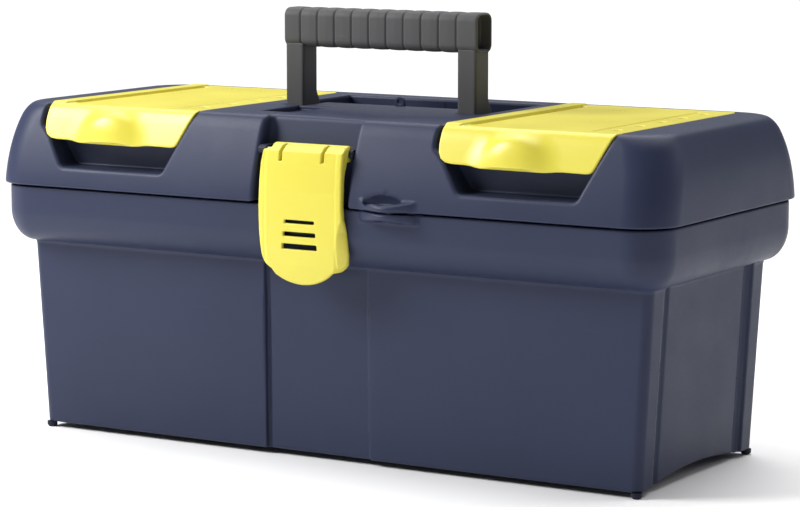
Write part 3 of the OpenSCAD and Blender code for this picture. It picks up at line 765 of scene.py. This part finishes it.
def tray(x, y, z):
    low, high = TRAY_LOW[2], TRAY_HIGH[2]
    hx, hy = WALL_X - TUB_INSET - TRAY_GAP, WALL_Y - TUB_INSET - TRAY_GAP
    t = np.clip((z - low) / (high - low), 0, 1)
    wall = rrect(x, y, hx - 2 + 2 * t, hy - 1.6 + 1.6 * t, 8)
    block = smax(smax(wall, low - z, 3.0), z - high, 1.2)
    flange = rrect(x, y, TRAY_HIGH[0], TRAY_HIGH[1], 20)
    flange = smax(flange, slab(z, LEDGE + 0.3, LEDGE + 2.3), 1.0)
    inner = rrect(x, y, hx - 3.8 + 2 * t, hy - 3.4 + 1.6 * t, 6.2)
    well = smax(inner, low + TRAY_WALL - z, 4.0)
    return cut(smin(block, flange, 1.4), well, 1.0)


# ---- materials ----


def new_material(name):
    m = bpy.data.materials.new(name)
    m.use_nodes = True
    return m, m.node_tree, m.node_tree.nodes["Principled BSDF"]


def plastic(name, colour, rough, grain_size, grain_depth, wear, spread, gloss=0.24):
    """Moulded plastic: a fine grain, slow drift of colour, flow marks, scuffs and paler edges.

    spread is the share by which the colour drifts, and wear how pale edges and scuffs get.
    """
    m, nt, bsdf = new_material(name)
    place = nt.nodes.new("ShaderNodeTexCoord").outputs["Object"]

    def noise(scale, detail, rough_share=0.5, stretch=None):
        n = nt.nodes.new("ShaderNodeTexNoise")
        n.inputs["Scale"].default_value = scale
        n.inputs["Detail"].default_value = detail
        n.inputs["Roughness"].default_value = rough_share
        source = place
        if stretch:
            mapping = nt.nodes.new("ShaderNodeMapping")
            mapping.inputs["Scale"].default_value = stretch
            nt.links.new(place, mapping.inputs["Vector"])
            source = mapping.outputs["Vector"]
        nt.links.new(source, n.inputs["Vector"])
        return n.outputs["Fac"]

    def span(value, low, high, to_low, to_high):
        n = nt.nodes.new("ShaderNodeMapRange")
        ends = {"From Min": low, "From Max": high, "To Min": to_low, "To Max": to_high}
        for key, number in ends.items():
            n.inputs[key].default_value = number
        nt.links.new(value, n.inputs["Value"])
        return n.outputs["Result"]

    def mix(factor, a, b):
        n = nt.nodes.new("ShaderNodeMix")
        n.data_type = "RGBA"
        nt.links.new(factor, n.inputs["Factor"])
        for socket, value in ((n.inputs["A"], a), (n.inputs["B"], b)):
            if isinstance(value, tuple):
                socket.default_value = (*value, 1)
            else:
                nt.links.new(value, socket)
        return n.outputs["Result"]

    def math_node(kind, a, b):
        n = nt.nodes.new("ShaderNodeMath")
        n.operation = kind
        for socket, value in zip(n.inputs, (a, b)):
            if isinstance(value, (int, float)):
                socket.default_value = value
            else:
                nt.links.new(value, socket)
        return n.outputs["Value"]

    dark = tuple(c * (1 - spread) for c in colour)
    light = tuple(min(1.0, c * (1 + spread)) for c in colour)
    # Colour: a slow drift, flow marks drawn out upwards, then worn edges and scuffs.
    drift = mix(span(noise(9, 3, 0.55), 0.3, 0.7, 0, 1), dark, light)
    flow = span(noise(30, 4, 0.6, (1.0, 1.0, 0.18)), 0.42, 0.72, 0, 0.35)
    tone = mix(flow, drift, tuple(c * (1 - 0.8 * spread) for c in colour))
    geometry = nt.nodes.new("ShaderNodeNewGeometry")
    edges = span(geometry.outputs["Pointiness"], 0.53, 0.62, 0, wear)
    scuffs = span(noise(420, 2, 0.5, (0.06, 1.0, 1.0)), 0.72, 0.8, 0, wear * 0.6)
    worn = math_node("MAXIMUM", edges, scuffs)
    pale = tuple(min(1.0, c * 1.25 + 0.06) for c in colour)
    nt.links.new(mix(worn, tone, pale), bsdf.inputs["Base Color"])

    # Roughness and relief: patches and grain, with wear rougher, over a slight waviness.
    grain = noise(1 / grain_size, 3, 0.55)
    patches = noise(24, 4, 0.6)
    rough_patches = span(patches, 0.3, 0.7, rough - 0.05, rough + 0.05)
    rough_grain = span(grain, 0.3, 0.7, -0.03, 0.03)
    rough_value = math_node("ADD", rough_patches, rough_grain)
    rough_value = math_node("ADD", rough_value, math_node("MULTIPLY", worn, 0.2))
    nt.links.new(rough_value, bsdf.inputs["Roughness"])
    bump = nt.nodes.new("ShaderNodeBump")
    bump.inputs["Strength"].default_value = 0.55
    bump.inputs["Distance"].default_value = grain_depth
    nt.links.new(grain, bump.inputs["Height"])
    wavy = nt.nodes.new("ShaderNodeBump")
    wavy.inputs["Strength"].default_value = 0.35
    wavy.inputs["Distance"].default_value = 0.0007
    nt.links.new(noise(14, 2, 0.4), wavy.inputs["Height"])
    nt.links.new(wavy.outputs["Normal"], bump.inputs["Normal"])
    nt.links.new(bump.outputs["Normal"], bsdf.inputs["Normal"])
    bsdf.inputs["IOR"].default_value = 1.45
    bsdf.inputs["Specular IOR Level"].default_value = gloss
    return m


def steel(name):
    """Turned steel, with fine rings round it."""
    m, nt, bsdf = new_material(name)
    place = nt.nodes.new("ShaderNodeTexCoord").outputs["Object"]
    mapping = nt.nodes.new("ShaderNodeMapping")
    mapping.inputs["Scale"].default_value = (3000, 60, 60)
    nt.links.new(place, mapping.inputs["Vector"])
    lines = nt.nodes.new("ShaderNodeTexNoise")
    lines.inputs["Scale"].default_value = 1.0
    nt.links.new(mapping.outputs["Vector"], lines.inputs["Vector"])
    ramp = nt.nodes.new("ShaderNodeMapRange")
    ramp.inputs["To Min"].default_value = 0.24
    ramp.inputs["To Max"].default_value = 0.42
    nt.links.new(lines.outputs["Fac"], ramp.inputs["Value"])
    nt.links.new(ramp.outputs["Result"], bsdf.inputs["Roughness"])
    tone = nt.nodes.new("ShaderNodeMix")
    tone.data_type = "RGBA"
    tone.inputs["A"].default_value = (0.42, 0.42, 0.43, 1)
    tone.inputs["B"].default_value = (0.60, 0.60, 0.61, 1)
    nt.links.new(lines.outputs["Fac"], tone.inputs["Factor"])
    nt.links.new(tone.outputs["Result"], bsdf.inputs["Base Color"])
    bsdf.inputs["Metallic"].default_value = 1.0
    return m


GRAIN = {"grain_size": 0.0011, "grain_depth": 0.00006}
NAVY = plastic(
    "navy_plastic", (0.0252, 0.0318, 0.067), rough=0.44, wear=0.14, spread=0.07, **GRAIN
)
# Dark plastic: the bins' own colour, and also painted shade on the feet, the latch keeper and the
# latch ears, which take it so that they look shadowed.
BIN_AND_SHADE = plastic("bin_plastic", (0.014, 0.017, 0.032), rough=0.50, wear=0.25, spread=0.07, **GRAIN)
YELLOW = plastic(
    "yellow_plastic", (0.68, 0.6, 0.068), rough=0.33, grain_size=0.0012, grain_depth=0.00003,
    wear=0.22, spread=0.03, gloss=0.5,
)
GREY = plastic(
    "handle_plastic", (0.062, 0.062, 0.065), rough=0.58, grain_size=0.0009, grain_depth=0.00010,
    wear=0.35, spread=0.08, gloss=0.35,
)
TRAY = plastic("tray_plastic", (0.045, 0.047, 0.053), rough=0.52, wear=0.25, spread=0.08, **GRAIN)
STEEL = steel("pin_steel")

# ---- pieces ----

moulding(
    "tub_moulding", tub, (-BAND_X, -EYE_FRONT, FOOT_H), (BAND_X, BAND_Y, TUB_TOP),
    cell=1.25, keep=0.33, body="tub", material=NAVY,
    nodes=["tub_shell", "padlock_tab_lower"],
)
moulding(
    "lid_moulding", lid, (-RIM_X, -EYE_FRONT, LID_FOOT), (RIM_X, RIM_Y, LID_TOP),
    cell=1.0, keep=0.36, body="lid", material=NAVY,
    nodes=["lid_shell", "padlock_tab_upper"],
)
for side, word in ((-1, "left"), (1, "right")):
    moulding(
        "cover_" + word, cover(side),
        (side * COVER_X - COVER_HALF, -RIM_Y - 2, 160),
        (side * COVER_X + COVER_HALF, AXIS_Y + 3, LID_TOP + 1.6),
        cell=0.7, keep=0.35, body=word + "_cover", material=YELLOW,
        nodes=["organiser_lid_" + word, "thumb_lift_" + word],
    )
    inner, outer = sorted((side * (LEG_IN - 1), side * (HANDLE_HALF + 1)))
    moulding(
        "leg_" + word, leg(side),
        (inner, PIVOT_Y - LEG_R, PIVOT_Z - LEG_R),
        (outer, PIVOT_Y + LEG_R + HEEL, GRIP_Z + 2.5),
        cell=0.6, keep=0.35, body="handle", material=GREY,
        nodes=["handle_legs"],
    )
moulding(
    "latch_moulding", latch, LATCH_LOW, LATCH_HIGH, cell=0.5, keep=0.40,
    body="latch", material=YELLOW, nodes=["front_latch"],
)
moulding(
    "grip_moulding", grip, GRIP_LOW, GRIP_HIGH, cell=0.5, keep=0.40,
    body="handle", material=GREY, nodes=["handle_grip"],
)
moulding(
    "tray_moulding", tray, TRAY_LOW, TRAY_HIGH, cell=1.5, keep=0.40,
    body="tray", material=TRAY, nodes=["tray_shell"],
)

# ---- CAD nodes that are shown as they are, with edges softened by a bevel this wide ----

CARRIED = {
    # Painted shade: the feet, the latch keeper and the latch ears take the dark bin plastic so
    # that they look shadowed.
    "tub_feet": (BIN_AND_SHADE, 0.3),
    "tub_knuckles": (NAVY, 0.35),
    "latch_keeper": (BIN_AND_SHADE, 0.25),
    "lid_knuckles": (NAVY, 0.35),
    "latch_ears": (BIN_AND_SHADE, 0.35),
    "rear_clip": (NAVY, 0.2),
    "organiser_bin_left": (BIN_AND_SHADE, 0.35),
    "organiser_bin_right": (BIN_AND_SHADE, 0.35),
    "bin_dividers": (BIN_AND_SHADE, 0.3),
    "latch_hook": (YELLOW, 0.25),
    "tray_handle": (TRAY, 0.5),
    "tray_dividers": (TRAY, 0.4),
    "hinge_pins": (STEEL, 0.2),
    "latch_pin": (STEEL, 0.2),
    "organiser_pins": (STEEL, 0.2),
    "handle_pins": (GREY, 0.3),
}
for node, (material, width) in CARRIED.items():
    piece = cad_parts[node]
    piece.data.materials.clear()
    piece.data.materials.append(material)
    weld = piece.modifiers.new("weld", "WELD")
    weld.merge_threshold = 0.01 * MM
    bevel = piece.modifiers.new("bevel", "BEVEL")
    bevel.width = width * MM
    bevel.segments = 3
    bevel.limit_method = "ANGLE"
    bevel.angle_limit = math.radians(35)
    bevel.harden_normals = False
    smooth = piece.modifiers.new("normals", "WEIGHTED_NORMAL")
    smooth.keep_sharp = False

# ---- camera ----

target = Vector((5.7, 0.0, 101.8)) * MM
azimuth, elevation, distance = math.radians(31.2), math.radians(7.81), 1.606
level = math.cos(elevation)
back = Vector((math.sin(azimuth) * level, -math.cos(azimuth) * level, math.sin(elevation)))
camera_data = bpy.data.cameras.new("camera")
camera_data.sensor_width = 36.0
camera_data.lens = 135.2
camera = bpy.data.objects.new("camera", camera_data)
bpy.context.scene.collection.objects.link(camera)
camera.location = target + back * distance
camera.rotation_euler = (-back).to_track_quat("-Z", "Y").to_euler()
bpy.context.scene.camera = camera

# ---- floor and light ----

FLOOR_HALF = 14
floor_mesh = bpy.data.meshes.new("floor")
corners = [(i * FLOOR_HALF, j * FLOOR_HALF, 0) for i, j in ((-1, -1), (1, -1), (1, 1), (-1, 1))]
floor_mesh.from_pydata(corners, [], [(0, 1, 2, 3)])
floor = bpy.data.objects.new("floor", floor_mesh)
bpy.context.scene.collection.objects.link(floor)
floor_material, _, floor_bsdf = new_material("floor_pale")
floor_bsdf.inputs["Base Color"].default_value = (0.97, 0.97, 0.97, 1)
floor_bsdf.inputs["Roughness"].default_value = 0.7
floor_mesh.materials.append(floor_material)

world = bpy.data.worlds.new("studio")
bpy.context.scene.world = world
world.use_nodes = True
background = world.node_tree.nodes["Background"]
background.inputs["Color"].default_value = (1, 1, 1, 1)
background.inputs["Strength"].default_value = 0.15


def softbox(name, place, aim, width, height, power):
    data = bpy.data.lights.new(name, "AREA")
    data.shape = "RECTANGLE"
    data.size, data.size_y, data.energy = width, height, power
    light = bpy.data.objects.new(name, data)
    bpy.context.scene.collection.objects.link(light)
    light.location = place
    light.rotation_euler = (Vector(place) - Vector(aim)).to_track_quat("Z", "Y").to_euler()


softbox("key", (-0.75, -0.58, 0.72), aim=(-0.1, 0, 0.1), width=0.5, height=0.5, power=14.6)
softbox("fill", (1.05, 0.8, 0.75), aim=(0.2, 0, 0.1), width=0.5, height=0.7, power=2.1)
sun_data = bpy.data.lights.new("overhead", "SUN")
sun_data.energy = 3.3
sun_data.angle = math.radians(70)
sun = bpy.data.objects.new("overhead", sun_data)
bpy.context.scene.collection.objects.link(sun)
sun.rotation_euler = (math.radians(-20), math.radians(-10), 0)
bpy.context.scene.view_settings.view_transform = "Standard"
